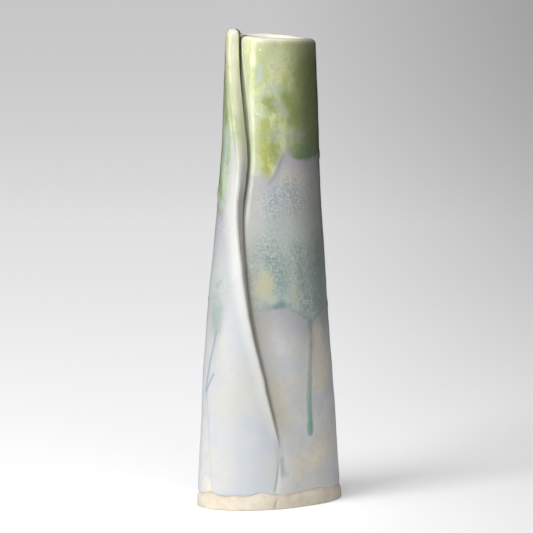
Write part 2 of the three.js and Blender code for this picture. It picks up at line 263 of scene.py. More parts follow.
# %% Helpers for any piece
def named(name):
    """The piece that was just added, with a name for it and for its mesh."""
    piece = bpy.context.object
    piece.name = name
    piece.data.name = name
    return piece


def edit_all():
    """Opens the active piece for editing, with all of it selected."""
    bpy.ops.object.mode_set(mode="EDIT")
    bpy.ops.mesh.select_all(action="SELECT")


def end_edit():
    bpy.ops.object.mode_set(mode="OBJECT")


def extrude_up(distance):
    bpy.ops.mesh.extrude_region_move(TRANSFORM_OT_translate={"value": (0, 0, distance)})


# %% Helpers for a flat sheet and for wrapping it
def rolled_sheet(name, columns, rows, thick=False):
    """A flat grid with one vertex per column and row, and a second face under it if it is thick."""
    bpy.ops.object.select_all(action="DESELECT")
    bpy.ops.mesh.primitive_grid_add(x_subdivisions=len(columns) - 1, y_subdivisions=len(rows) - 1, size=2)
    piece = named(name)
    if thick:
        edit_all()
        extrude_up(1)
        end_edit()
    return piece


def column_and_row(vertex, columns, rows):
    """The column and the row of a flat sheet that a vertex lies on."""
    column = columns[round((vertex.co.x + 1) / 2 * (len(columns) - 1))]
    row = rows[round((vertex.co.y + 1) / 2 * (len(rows) - 1))]
    return column, row


def wrap(piece, columns, rows, place):
    """Moves each vertex of a flat sheet to where place(column, row, under) puts it."""
    for vertex in piece.data.vertices:
        column, row = column_and_row(vertex, columns, rows)
        vertex.co = place(column, row, vertex.co.z < 0.5)
    piece.data.update()


def evenly(zone, count, skip_last=True):
    """Columns spread evenly over one zone of the sheet, each with no turn round the flap's nose."""
    places = [index / (count - 1) for index in range(count)]
    if skip_last:
        places = places[:-1]
    return [(zone, place, 0.0) for place in places]


FOOT_TOP = 9.2
FOOT_HEIGHTS = (0.0, 0.15, 0.5, 1.0, 2.2, 3.5, 4.6, 5.6, 6.6, 7.8, FOOT_TOP)
ROUNDING = (20, 40, 60, 75, 89)

clay_columns = (evenly("under", 9, skip_last=False) + evenly("front", 30) + evenly("round", 30)
                + evenly("climb", 12) + evenly("flap", 16, skip_last=False)
                + [("flap", 1.0, angle) for angle in ROUNDING])
clay_rows = ([("foot", height) for height in FOOT_HEIGHTS]
             + [("body", index / 40) for index in range(1, 41)]
             + [("lip", angle) for angle in ROUNDING])
print("Clay sheet:", len(clay_columns), "columns and", len(clay_rows), "rows")

# %% Clay sheet, wrapped
# Above the raw foot the clay's edge ends a little short, so the rounded nose of glaze covers it whole.
FOOT_BULGE = 1.0
FOOT_ROUND = 1.0
FOOT_DENTS = 0.22
FOOT_CREASE = 0.35
HELD_BACK = 5.4


def foot_out(turn, height):
    """The raw foot swells past the glaze, and its lower edge is sponged round."""
    swell = FOOT_BULGE * (1 - ease(height - wiped_line(turn), -3.2, 0.4))
    dents = FOOT_DENTS * noise.noise(Vector((turn * 0.09, height * 0.2, 5.0)))
    crease = -FOOT_CREASE * exp(-((turn - 3.2) / 1.1) ** 2)
    sponged = FOOT_ROUND - sqrt(max(FOOT_ROUND ** 2 - max(FOOT_ROUND - height, 0) ** 2, 0))
    return swell + dents * (1 - ease(height, 8, 12)) + crease * (1 - ease(height, 8, 10)) - sponged


def from_front(turn):
    """A turn over the flap counted from the front, as on the wall."""
    return turn if turn < 270 else turn - 360


def clay_place(column, row, under):
    """Where a vertex of the clay sheet lies, in metres."""
    zone, place, nose = column
    kind, amount = row
    crest = crown(zone, place)
    if zone == "flap":
        crest -= HELD_BACK * ease(place, 0.1, 0.9)
    rim_outer, rim_inner = sheet_at(zone, place, RIM)[1:]
    half_rim = (rim_outer - rim_inner) / 2
    share = amount if kind == "body" else 1.0
    height = amount if kind == "foot" else blend(FOOT_TOP, crest - half_rim, share)
    turn, outer, inner = sheet_at(zone, place, height)
    if zone == "flap":
        turn -= HELD_BACK * ease(height, 9, 20) * place / plan(turn, height)[3]
    if zone == "under":
        outer += min(beside_flap(height, 0), 0) * place
    half = (outer - inner) / 2
    lip = radians(amount) if kind == "lip" else 0.0
    side = -1 if under else 1
    out = (outer + inner) / 2 + side * half * cos(radians(nose)) * cos(lip)
    if not under:
        out += foot_out(from_front(turn), height) * cos(radians(nose))
    elif height < FOOT_ROUND and half > FOOT_ROUND:
        out += 0.4 * (FOOT_ROUND - height)
    back = half * (sin(radians(nose)) - 1) if zone == "flap" and place == 1.0 else 0.0
    return spot_on(turn, height, out, back * cos(lip), half * sin(lip))


clay_wall = rolled_sheet("clay_wall", clay_columns, clay_rows, thick=True)
wrap(clay_wall, clay_columns, clay_rows, clay_place)
print("Clay wall has", len(clay_wall.data.polygons), "faces")

# %% [markdown]
# The wrapped sheet is one closed body, so its faces can be turned outwards in one go, and smooth
# shading with an angle keeps the sponged edge under the foot soft without blurring the flap.

# %% Finish the clay sheet
def take_up(piece):
    """Makes a piece the active one and the only one that is selected."""
    bpy.ops.object.select_all(action="DESELECT")
    piece.select_set(True)
    bpy.context.view_layer.objects.active = piece


def face_outwards(piece):
    """Turns every face of a closed body outwards."""
    take_up(piece)
    edit_all()
    bpy.ops.mesh.normals_make_consistent(inside=False)
    end_edit()


def smooth_faces(piece, angle=50):
    """Smooth shading, with edges sharper than the angle left crisp."""
    take_up(piece)
    bpy.ops.object.shade_smooth_by_angle(angle=radians(angle))


def stands_for(piece, slot, *nodes):
    """The piece rides on the vase and shows instead of these solids; the slot it is given is not used."""
    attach(piece, "root")
    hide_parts(*nodes)
    print(piece.name, "stands for", ", ".join(nodes), "with", len(piece.data.polygons), "faces")


face_outwards(clay_wall)
smooth_faces(clay_wall)
stands_for(clay_wall, "clay", "wall_slab")

# %% [markdown]
# The floor is a second piece of slab, cut to the inside of the wall and pressed in. It starts as a
# filled circle, is pulled to the plan's oval and extruded to its thickness, and an inset on the
# underside is sunk a little, as a potter's sponge leaves it, so that the vase stands on its rim.

# %% Floor slab
FLOOR = 7.0
FLOOR_EDGE = -(SLAB + 1.2)
RING_STEPS = 96
STANDING_RINGS = (0.9, 5.0)
SPONGED_RINGS = (3.0, 6.0)
SPONGED_DEPTH = 0.4


def ring_turn(vertex):
    """The turn of a vertex on a round ring about the middle."""
    return degrees(atan2(vertex.co.x, -vertex.co.y))


bpy.ops.object.select_all(action="DESELECT")
bpy.ops.mesh.primitive_circle_add(vertices=RING_STEPS, radius=1.0, fill_type="NGON")
clay_floor = named("clay_floor")
for vertex in clay_floor.data.vertices:
    vertex.co = spot_on(ring_turn(vertex), 0.0, FLOOR_EDGE)
edit_all()
extrude_up(FLOOR * MM)
end_edit()
face_outwards(clay_floor)


def pick_faces(piece, wanted):
    """Selects the faces that answer to wanted, and leaves the piece in edit mode."""
    bpy.ops.object.mode_set(mode="EDIT")
    bpy.ops.mesh.select_mode(type="FACE")
    bpy.ops.mesh.select_all(action="DESELECT")
    end_edit()
    for face in piece.data.polygons:
        face.select = wanted(face)
    bpy.ops.object.mode_set(mode="EDIT")


pick_faces(clay_floor, lambda face: face.normal.z < -0.9)
for width in STANDING_RINGS:
    bpy.ops.mesh.inset(thickness=width * MM)
bpy.ops.transform.translate(value=(0, 0, SPONGED_DEPTH * MM))
for width in SPONGED_RINGS:
    bpy.ops.mesh.inset(thickness=width * MM)
end_edit()
smooth_faces(clay_floor, 30)
stands_for(clay_floor, "clay", "floor_slab")

# %% [markdown]
# The joint round the floor is luted with slip, liquid clay that is smeared flush with a finger. Seen
# from below it is a slightly sunken, uneven ring. A torus would be round all over, so the ring is an
# oval band: a circle of edges is extruded, each of its rings is pulled to its place in the joint's
# section, and a bridge closes the top.

# %% Slip round the floor
JOINT_IN = FLOOR_EDGE
JOINT_OUT = -(SLAB - 0.1)
SMEAR = 0.12
LUTING_SECTION = [(JOINT_IN, 6.0), (JOINT_IN, 0.5), (blend(JOINT_IN, JOINT_OUT, 0.35), 0.25),
                  (blend(JOINT_IN, JOINT_OUT, 0.65), 0.25), (JOINT_OUT, 0.5), (JOINT_OUT, 6.0)]

bpy.ops.object.select_all(action="DESELECT")
bpy.ops.mesh.primitive_circle_add(vertices=2 * RING_STEPS, radius=1.0, fill_type="NOTHING")
floor_luting = named("floor_luting")
bpy.ops.object.mode_set(mode="EDIT")
bpy.ops.mesh.select_mode(type="VERT")
bpy.ops.mesh.select_all(action="SELECT")
for step in LUTING_SECTION[1:]:
    extrude_up(1)
end_edit()
for vertex in floor_luting.data.vertices:
    turn = ring_turn(vertex)
    out, height = LUTING_SECTION[round(vertex.co.z)]
    smear = SMEAR * noise.noise(Vector((turn * 0.14, height, 2.0)))
    vertex.co = spot_on(turn, height + smear, out)
bpy.ops.object.mode_set(mode="EDIT")
bpy.ops.mesh.select_all(action="DESELECT")
end_edit()
for edge in floor_luting.data.edges:
    heights = [floor_luting.data.vertices[index].co.z for index in edge.vertices]
    edge.select = min(heights) > 5.0 * MM
bpy.ops.object.mode_set(mode="EDIT")
bpy.ops.mesh.select_mode(type="EDGE")
bpy.ops.mesh.bridge_edge_loops()
end_edit()
face_outwards(floor_luting)
smooth_faces(floor_luting)
stands_for(floor_luting, "slip", "floor_slip")

# %% [markdown]
# Where each glaze ends is drawn as a curve round the vase, in turns and millimetres of height. The
# sheet's turn runs on past 360 over the flap, so one curve can say one thing on the wall and another
# on the flap above it. The green stops high and ragged, the teal hangs in a heavy band below it.

# %% Where the glazes end
green_line = curve_through([
    (-90, 166), (-31, 166), (-20, 164.5), (-10, 163.5), (-3, 162.5), (4, 166), (10, 171.5), (15, 176.5),
    (20, 176), (31, 173.5), (46, 172.8), (62, 174), (77, 175), (92, 172.5), (104, 168.5), (113, 164),
    (121, 162.2), (129, 163.6), (138, 168), (150, 172.4), (162, 173.6), (174, 170.6), (186, 165),
    (196, 161.2), (205, 160.6), (214, 164), (222, 167.6), (232, 168), (244, 163.6), (254, 159),
    (264, 156.4), (280, 152), (294, 146), (300, 146.5), (304, 156), (307, 170), (309, 188), (318, 206),
    (366, 212)])
teal_line = curve_through([
    (-90, 99), (-21, 99.3), (-8, 98.8), (6, 100), (17, 99.2), (27, 96.8), (35, 93.8), (42, 91.5),
    (49, 92.5), (60, 95.5), (85, 98.3), (108, 94), (130, 96), (150, 99), (170, 92), (190, 97), (212, 93),
    (240, 96), (262, 101), (288, 102), (296, 98), (302.5, 88.5), (307, 95), (311, 106), (319, 114),
    (366, 118)])
teal_top = curve_through([
    (-90, 132), (-26, 137), (-12, 143), (0, 147), (17, 142), (36, 147), (60, 142), (90, 146), (130, 139),
    (170, 145), (210, 138), (250, 136), (280, 128), (300, 124), (366, 118)])

RUNS = [
    [(41.2, 93), (41.1, 80.5), (38.6, 68), (37.1, 53), (36.6, 36.5)],
    [(130, 98), (129.5, 84), (129, 66)],
    [(212, 95), (211.5, 80), (211, 47)],
]
RUN_RISE = 0.3


def beside_run(run, turn, height):
    """Turns between a point and a run's middle line, or None where the point isn't level with it."""
    if not run[-1][1] - 2 < height < run[0][1] + 2:
        return None
    for (high_turn, high), (low_turn, low) in zip(run, run[1:]):
        if height >= low:
            break
    return turn - blend(low_turn, high_turn, (height - low) / (high - low))


print("Green ends between", round(min(green_line(turn) for turn in range(-40, 310)), 1), "and",
      round(max(green_line(turn) for turn in range(-40, 310)), 1), "mm up")

# %% [markdown]
# A fired glaze isn't flat: it rolls where it stops, hangs in beads at the end of a run, thins on the
# edges it flows off, and shows the dents of the slab under it. These forms are in the mesh and not
# only in the shading, so they catch the light from every side.

# %% Forms in the glaze
DENTS = 0.34
FINE_DENTS = 0.13
GREEN_STEP = 0.22
GREEN_BEAD = 0.24
TEAL_BEAD = 0.2
RUN_HALF = 1.9
RIDGE = [(-58.0, 8.0), (-64.2, 61.0)]
RIDGE_RISE = 0.8
DIMPLE = (10.0, 21.0)
DIMPLE_DEPTH = 0.42


def glaze_form(zone, turn, height, point, per_degree):
    """How far the glaze's face stands off its even coat, in millimetres."""
    front_turn = from_front(turn)
    form = DENTS * noise.noise(point * 0.036)
    form += FINE_DENTS * noise.noise(point * 0.11 + Vector((7, 3, 1)))
    green = height - green_line(turn)
    form += GREEN_STEP * ease(green, -1.2, 1.4) + GREEN_BEAD * exp(-((green - 1.6) / 1.7) ** 2)
    teal = height - teal_line(turn)
    form += TEAL_BEAD * exp(-((teal - 1.3) / 1.6) ** 2)
    for run in RUNS:
        off = beside_run(run, turn, height)
        if off is None:
            continue
        end = height - run[-1][1]
        half = RUN_HALF * (1 + 0.35 * exp(-((end - 1.5) / 2.5) ** 2))
        round_end = sqrt(max(1 - max(0.8 - end, 0) ** 2 / 4, 0))
        form += RUN_RISE * max(1 - (off * per_degree / half) ** 2, 0) * round_end
    if zone == "flap":
        middle = blend(RIDGE[0][0], RIDGE[1][0], (height - RIDGE[0][1]) / (RIDGE[1][1] - RIDGE[0][1]))
        ridge = exp(-((front_turn - middle) * per_degree / 3.0) ** 2)
        form += RIDGE_RISE * ridge * ease(height, 9, 20) * (1 - ease(height, 54, 68))
    if zone == "front":
        far = ((front_turn - DIMPLE[0]) * per_degree / 1.4) ** 2 + ((height - DIMPLE[1]) / 5.0) ** 2
        form -= DIMPLE_DEPTH * exp(-far)
    return form


print("A run stands off the wall by up to", RUN_RISE, "mm")

# %% [markdown]
# The skin of glaze is one open sheet wrapped over the clay: out of the crevice beside the flap, round
# the vase, over the flap and round its nose, and over the rim to the inside. Three coats could be made
# one above the other, but real coats melt into one skin, so the colours change and the surface doesn't.

# %% The skin's columns and rows
BEAD = 1.5
BODY_ROWS = 168
LIP_ROWS = 12

nose_angles = [8, 17, 26, 36, 47, 60, 75, 90, 105, 120, 133, 144, 154, 163, 172, 180]
skin_columns = (evenly("under", 8) + evenly("front", 62) + evenly("round", 48) + evenly("climb", 20)
                + evenly("flap", 34, skip_last=False) + [("flap", 1.0, angle) for angle in nose_angles]
                + [("tuck", 1.4, 180.0), ("tuck", 3.2, 180.0)])
skin_rows = ([("bead", height) for height in (0.0, 0.1, 0.3, 0.6, 1.0, BEAD)]
             + [("body", index / BODY_ROWS) for index in range(1, BODY_ROWS + 1)]
             + [("lip", 180 * index / LIP_ROWS) for index in range(1, LIP_ROWS + 1)]
             + [("inside", depth) for depth in (1.2, 3.0, 5.5, 8.5, 12.0)])
print("Glaze skin:", len(skin_columns), "columns and", len(skin_rows), "rows")

# %% The flap's rounded edge
def step_height(height):
    """How far the flap's face stands above the wall beside it."""
    return flap_rise(height) * (1 - sunk(height))


def along_flap(height, low, middle, high):
    """A value that changes up the flap's edge: soft low down, sharp in the middle, round near the rim."""
    return blend(blend(low, middle, ease(height, 45, 75)), high, ease(height, 150, 190))


def nose_reach(height):
    """Length over which the flap's edge rounds over."""
    return min(0.9 * step_height(height), along_flap(height, 4.6, 2.2, 3.2))


def nose_profile(nose, height, top, bottom):
    """A point round the flap's edge, off the plan curve and along it, from its face to its underside."""
    square = 2 / along_flap(height, 2.0, 2.7, 2.3)
    depth = 0.82 * (top - bottom)
    reach = nose_reach(height)
    angle = radians(nose)
    if nose <= 90:
        return top - depth * (1 - max(cos(angle), 0.0) ** square), reach * sin(angle) ** square
    under = angle - pi / 2
    return blend(top - depth, bottom, sin(under) ** square), reach - 0.25 * reach * (1 - cos(under))


print("Flap's edge rounds over in mm at three heights:",
      [round(nose_reach(height), 1) for height in (RIM / 4, RIM / 2, RIM)])

# %% The skin off the plan
INSIDE_COAT = 0.5


def smeared_inside(height):
    """The inside of the wall where the sheet's hidden end is smeared flush with it."""
    return edge_thickness(height) - SLAB - FEATHER


def inside_of(zone, place, height):
    """The bare inside of the wall off the plan curve."""
    inner = sheet_at(zone, place, height)[2]
    if zone == "climb":
        return blend(inner, smeared_inside(height), ease(place, 0.45, 1))
    return inner


def skin_at(zone, place, height):
    """Turn of a skin column, and the outer and inner faces of the glaze off the plan curve."""
    edge = edge_turn(height)
    hidden = hidden_turn(height)
    per_degree = plan(edge, height)[3]
    if zone == "under":
        start = blend(edge - 4 / per_degree, hidden, ease(height, 205, 228))
        turn = blend(start, edge, place)
        share = (turn - hidden) / (edge - hidden)
        outer, inner = sheet_at("under", share, height)[1:]
        lifted = blend(place, ease(place, 0, 0.5), sunk(height))
        coat = blend(0.9 * lap_gap(height), COAT, ease(share, 0, 0.6))
        return turn, outer + beside_flap(height, 0) * lifted + coat, inner - INSIDE_COAT
    if zone in ("flap", "tuck"):
        along = place if zone == "flap" else 1.0
        ripple = 0.35 * noise.noise(Vector((height * 0.055, 4.0, 0.0)))
        ripple += 0.2 * noise.noise(Vector((height * 0.16, 9.0, 0.0)))
        tip = (blend(-0.4, 0.5, ease(height, 95, 125)) + ripple) * ease(height, 24, 50)
        end = edge + (tip - nose_reach(height)) / per_degree
        top = flap_rise(height) + COAT - 0.7 * sunk(height) * ease(along, 0.94, 1.0)
        step = step_height(height)
        bottom = top - blend(SLAB + 0.9, step - min(0.15, 0.1 * step), along)
        bottom = blend(smeared_inside(height) - INSIDE_COAT, bottom, ease(along, 0, 0.25))
        if zone == "tuck":
            bottom -= 0.35 * place
        return 360 + blend(hidden, end, along), top, bottom
    turn, outer = sheet_at(zone, place, height)[:2]
    return turn, outer + COAT, inside_of(zone, place, height) - INSIDE_COAT


print("Skin at the front, its turn and faces:", [round(part, 1) for part in skin_at("front", 0.0, RIM / 2)])

# %% Wrap the skin of glaze
INSIDE_TUCK = 0.6


def skin_crest(zone, place):
    """Height of the glazed rim over a column of the skin."""
    return crown("flap" if zone == "tuck" else zone, min(place, 1.0)) + COAT


def skin_place(column, row):
    """A skin vertex: its point in metres, its turn and its height in millimetres."""
    zone, place, nose = column
    kind, amount = row
    on_flap = zone in ("flap", "tuck")
    rim_top, rim_bottom = skin_at(zone, place, RIM)[1:]
    lip_radius = min((rim_top - rim_bottom) / 2, SLAB / 2 + COAT)
    lip_start = skin_crest(zone, place) - lip_radius
    low = wiped_line(skin_at(zone, place, 8.0)[0])
    depth = 0.15 * amount if on_flap else amount
    height = {"bead": low + amount, "body": blend(low + BEAD, lip_start, amount), "lip": lip_start,
              "inside": lip_start - depth}[kind]
    lip = {"lip": radians(amount), "inside": pi}.get(kind, 0.0)
    lift = lip_radius * sin(lip)
    leaning = height + lift if on_flap else height
    turn, top, bottom = skin_at(zone, place, leaning)
    point, tangent, outward, per_degree = plan(turn, leaning)
    solid = Vector((point.x + outward.x * top, point.y + outward.y * top, height))
    form = glaze_form(zone, turn, height, solid, per_degree) * max(cos(lip), 0.0)
    if kind == "bead":
        rolled = sqrt(1 - (1 - amount / BEAD) ** 2)
        top -= (COAT - 0.12) * (1 - rolled)
        form *= rolled
    middle = (top + bottom) / 2
    face, along = nose_profile(nose, height, top, bottom) if nose else (top, 0.0)
    closed = cos(lip) if nose == 0 else max(cos(lip), 0.0)
    out = middle + (face - middle + form * max(cos(radians(nose)), 0.0)) * closed
    if kind == "inside" and not on_flap:
        out += INSIDE_TUCK * ease(amount, 7.0, 12.0)
    fold = blend(1.0, -1.0, ease(step_height(min(height, RIM)), 0.3, 1.2))
    along = (along + place * fold if zone == "tuck" else along) * abs(closed)
    flat = point + outward * out + tangent * along
    return Vector((flat.x, flat.y, height + lift)) * MM, turn, height + lift


glaze_skin = rolled_sheet("glaze_skin", skin_columns, skin_rows)
skin_points = []
for vertex in glaze_skin.data.vertices:
    column, row = column_and_row(vertex, skin_columns, skin_rows)
    vertex.co, turn, height = skin_place(column, row)
    skin_points.append((column, row, turn, height))
glaze_skin.data.update()
print("Glaze skin has", len(glaze_skin.data.polygons), "faces")

# %% [markdown]
# The colours have to follow the sheet, not the room, so the skin carries marks: how far each point
# lies above the green's end, above the teal's end and below its top, from the flap's edge, from the
# crease beside it, below the rim and above the wiped foot. It also gets a UV map in metres along the
# sheet for thin strokes.

# %% Marks and a map on the skin
FAR = 60.0
NOSE_TOP = 36
UNDER_NOSE = 3.6
MARKS = ["above_green_end", "above_teal_end", "below_teal_top", "from_flap_edge", "from_crease",
         "below_rim", "above_foot_line"]


def along_sheet(turn, height):
    """Metres along the sheet from the front, by the plan's mean reach."""
    level = min(height, RIM)
    mean = (left_reach(level) + right_reach(level) + 2 * front_reach(level)) / 4
    return radians(turn) * mean * MM


def mark(piece, name, values):
    """Stores one number per vertex under a name that the finish can read."""
    layer = piece.data.attributes.new(name, "FLOAT", "POINT")
    layer.data.foreach_set("value", values)


def marks_at(column, row, turn, height):
    """The distances that a point of the skin carries, in millimetres, in the order of MARKS."""
    zone, place, nose = column
    kind, amount = row
    per_degree = plan(turn, height)[3]
    edge = edge_turn(min(height, RIM))
    crest = skin_crest(zone, place)
    inwards = kind == "inside" or (kind == "lip" and amount > 90)
    from_rim = height - crest if inwards else max(crest - height, 0.0)
    from_edge = FAR
    from_crease = FAR
    if zone == "tuck":
        from_edge = -3.0
        from_crease = 0.0
    elif zone == "flap" and nose == 0:
        from_edge = (360 + edge - turn) * per_degree - nose_reach(min(height, RIM))
    elif zone == "flap":
        from_edge = -nose / 60
        if nose > NOSE_TOP:
            from_crease = UNDER_NOSE * (180 - nose) / (180 - NOSE_TOP)
    elif zone in ("under", "front"):
        from_crease = max((turn - edge) * per_degree - 0.5, 0.0)
    return (height - green_line(turn), height - teal_line(turn), teal_top(turn) - height,
            from_edge, from_crease, from_rim, height - wiped_line(turn))


for name, values in zip(MARKS, zip(*[marks_at(*point) for point in skin_points])):
    mark(glaze_skin, name, values)

sheet_map = glaze_skin.data.uv_layers.new(name="Sheet")
for loop in glaze_skin.data.loops:
    turn, height = skin_points[loop.vertex_index][2:]
    sheet_map.data[loop.index].uv = (along_sheet(turn, height), height * MM)
print("Marks:", [layer.name for layer in glaze_skin.data.attributes if layer.data_type == "FLOAT"])

# %% [markdown]
# Some places of colour are single events of the firing: a spot where the teal burnt pale, blue streaks
# in the green, a yellow tongue. Each is a short stroke on the sheet, given by turns and heights, and the
# skin stores how far every vertex lies from the nearest stroke of its kind.

# %% Places of dabs
DABS = {
    "sandy_cloud": [[(19, 23), (24, 23)], [(20.5, 16.5), (24, 16.5)], [(46, 26), (51, 25)],
                    [(35, 24), (40, 22.5)], [(5.7, 62), (10.8, 44)], [(300, 12), (306, 11)],
                    [(52, 87), (53, 62)]],
    "blue_pool": [[(10, 30), (12, 15)], [(52, 16), (66, 14)], [(353, 31), (356, 17)],
                  [(21, 40), (27, 38)]],
    "warm_patch": [[(22, 170), (38, 166)]],
    "speckled_place": [[(3, 156), (2, 136), (-4, 124)], [(27, 158), (31, 150)]],
    "dense_teal": [[(33, 128), (35, 112), (40, 98)], [(60, 132), (57, 112), (52, 99)],
                   [(-12, 131), (4, 124), (8, 112)], [(-27, 119), (-27, 112)],
                   [(-23, 128), (-25, 120), (-25, 105)]],
    "flap_teal": [[(299, 113), (301, 97), (302.5, 90)]],
    "pale_spot": [[(-6, 116), (-4, 110)], [(-11, 113), (-12, 108.5)], [(-14, 110), (-7, 108)]],
    "faint_spot": [[(25.5, 110), (26, 105)]],
    "dark_accent": [[(-6, 101.8), (2, 101.4), (13, 101.4)]],
    "teal_run": [run[:2] for run in RUNS],
    "olive_place": [[(-6, 203), (2, 200)], [(24, 205), (27, 192)], [(39, 218), (41, 212)],
                    [(4, 180), (4, 173)]],
    "yellow_tongue": [[(-9.5, 192), (-8.5, 180), (-4.5, 166)]],
    "blue_streak": [[(-18, 220), (-17.5, 212.5)], [(-10, 207.5), (-2, 209.8), (8, 208.3)],
                    [(9.5, 201.5), (13, 199.5), (18, 196.5)], [(293, 189), (298, 167), (298, 152)]],
    "blue_cloud": [[(7, 186.5), (18, 186), (30, 185)]],
    "pink_spot": [[(-33, 224.5), (-30, 222.5)]],
}


def far_from(spot, strokes):
    """Millimetres on the sheet from a spot to the nearest of some strokes."""
    nearest = FAR
    for points in strokes:
        for start, end in zip(points, points[1:]):
            closest, share = intersect_point_line(spot, start, end)
            if share < 0:
                closest = start
            if share > 1:
                closest = end
            nearest = min(nearest, (spot - closest).length)
    return nearest


def on_sheet(turn, height):
    """A place on the sheet laid flat, in millimetres."""
    return Vector((along_sheet(turn, height) / MM, height))


sheet_spots = [on_sheet(turn, height) for column, row, turn, height in skin_points]
for name, strokes in DABS.items():
    flat = [[on_sheet(turn, height) for turn, height in points] for points in strokes]
    mark(glaze_skin, name, [far_from(spot, flat) for spot in sheet_spots])
print("Dabs:", list(DABS))

# %% [markdown]
# So far the skin has no thickness. Solidify gives it the half millimetre of a fired glaze, inwards,
# towards the clay, and closes its rims, so that it is a real coat from any side and in any tool.

# %% Thickness of the glaze
GLAZE = 0.45


def thicken(piece, thickness):
    """Gives an open sheet its thickness, behind its face, with Solidify, applied."""
    take_up(piece)
    solid = piece.modifiers.new("Thickness", "SOLIDIFY")
    solid.thickness = thickness * MM
    solid.offset = -1.0
    solid.use_rim = True
    bpy.ops.object.modifier_apply(modifier=solid.name)


thicken(glaze_skin, GLAZE)
bpy.ops.object.shade_smooth()
stands_for(glaze_skin, "lavender_glaze", "green_glaze", "teal_glaze", "lavender_glaze")

# %% [markdown]
# Inside, a coat of glaze was poured in and out again, so the vase holds water. It is a cup: a sheet
# wrapped into a ring, with its lower rows led round the inside corner and over the floor to a pole.
# Merging by distance closes the ring and the pole, and Solidify gives the cup its thickness.

# %% Liner glaze
CORNER = 6.0
INSIDE_FLOOR = 8.4
LINER_TOP_DEPTH = 8.0
LINER_COAT = 0.3
LINER_LOW_OUT = -(SLAB + 0.6)

liner_columns = (evenly("under", 10) + evenly("front", 30) + evenly("round", 30)
                 + evenly("climb", 14, skip_last=False))
liner_rows = ([("wall", index / 44) for index in range(45)]
              + [("corner", 90 * index / 8) for index in range(1, 9)]
              + [("floor", share) for share in (0.85, 0.6, 0.3, 0.0)])


def liner_place(column, row, under):
    """Where a vertex of the liner lies, in metres; the sheet is thin, so there is nothing under it."""
    zone, place = column[:2]
    kind, amount = row
    high = crown(zone, place) - LINER_TOP_DEPTH if zone != "under" else RIM - LINER_TOP_DEPTH - 0.6
    low = INSIDE_FLOOR + CORNER
    if kind == "wall":
        height = blend(high, low, amount)
        turn = sheet_at(zone, place, height)[0]
        settled = ease(height, low, low + 20)
        out = blend(LINER_LOW_OUT, inside_of(zone, place, height) - LINER_COAT, settled)
        ripple = 0.15 * noise.noise(Vector((turn * 0.07, height * 0.06, 9.0)))
        return spot_on(turn, height, out + ripple * settled)
    angle = radians(amount if kind == "corner" else 90)
    height = INSIDE_FLOOR + CORNER * (1 - sin(angle))
    turn = sheet_at(zone, place, height)[0]
    point = spot_on(turn, height, LINER_LOW_OUT - CORNER * (1 - cos(angle)))
    if kind == "floor":
        point = Vector((point.x * amount, point.y * amount, point.z))
    return point


liner = rolled_sheet("liner", liner_columns, liner_rows)
wrap(liner, liner_columns, liner_rows, liner_place)
edit_all()
bpy.ops.mesh.remove_doubles(threshold=0.3 * MM)
bpy.ops.mesh.normals_make_consistent(inside=True)
end_edit()
thicken(liner, LINER_COAT)
bpy.ops.object.shade_smooth()
stands_for(liner, "liner_glaze", "liner_glaze")

# %% [markdown]
# Finishes are node trees. A few helpers keep them readable: one adds a node and wires it, one turns
# a given colour into the values that sockets take, and the rest write the commonest steps. A
# socket knows which tree it is in, so most of them needn't be told.

# %% Helpers for node trees
def add(tree, kind, wires=None, **options):
    """Adds a node, sets its options, and wires or sets its inputs."""
    made = tree.nodes.new("ShaderNode" + kind)
    for option, value in options.items():
        setattr(made, option, value)
    for socket, value in (wires or {}).items():
        if isinstance(value, bpy.types.NodeSocket):
            tree.links.new(value, made.inputs[socket])
        else:
            made.inputs[socket].default_value = value
    return made


def paint(red, green, blue):
    """A colour given on a scale of 255, as linear values."""
    linear = []
    for part in (red, green, blue):
        share = part / 255
        linear.append(share / 12.92 if share <= 0.04045 else ((share + 0.055) / 1.055) ** 2.4)
    return (*linear, 1.0)


def maths(operation, first, second):
    """A sum of two values, one of them a socket at least."""
    tree = first.id_data if isinstance(first, bpy.types.NodeSocket) else second.id_data
    return add(tree, "Math", {0: first, 1: second}, operation=operation).outputs[0]


def times(first, second):
    return maths("MULTIPLY", first, second)


def plus(first, second):
    return maths("ADD", first, second)


def vectors(operation, first, second):
    """The outputs of a sum of two vectors."""
    return add(first.id_data, "VectorMath", {0: first, 1: second}, operation=operation).outputs


def ramp(value, low, high, start, end, shape="LINEAR"):
    """A change from start at low to end at high, and level beyond them."""
    wires = {"Value": value, "From Min": low, "From Max": high, "To Min": start, "To Max": end}
    return add(value.id_data, "MapRange", wires, interpolation_type=shape).outputs[0]


def soft(value, low, high):
    """A soft step from 0 at low to 1 at high, or down if low is the larger."""
    return ramp(value, low, high, 0.0, 1.0, "SMOOTHSTEP")


def over(mask, below, above):
    """One colour laid over another where the mask is."""
    return add(mask.id_data, "Mix", {0: mask, 6: below, 7: above}, data_type="RGBA").outputs[2]


def wash(colour, tint, share, value, low, high):
    """A tint laid over a colour by a share, where a value steps from low to high."""
    return over(times(soft(value, low, high), share), colour, tint)


def noise_at(place, scale, detail=3.0, roughness=0.55):
    wires = {"Vector": place, "Scale": scale, "Detail": detail, "Roughness": roughness}
    return add(place.id_data, "TexNoise", wires).outputs["Fac"]


def swing(value):
    """A noise as swings to both sides of nought."""
    return maths("SUBTRACT", value, 0.5)


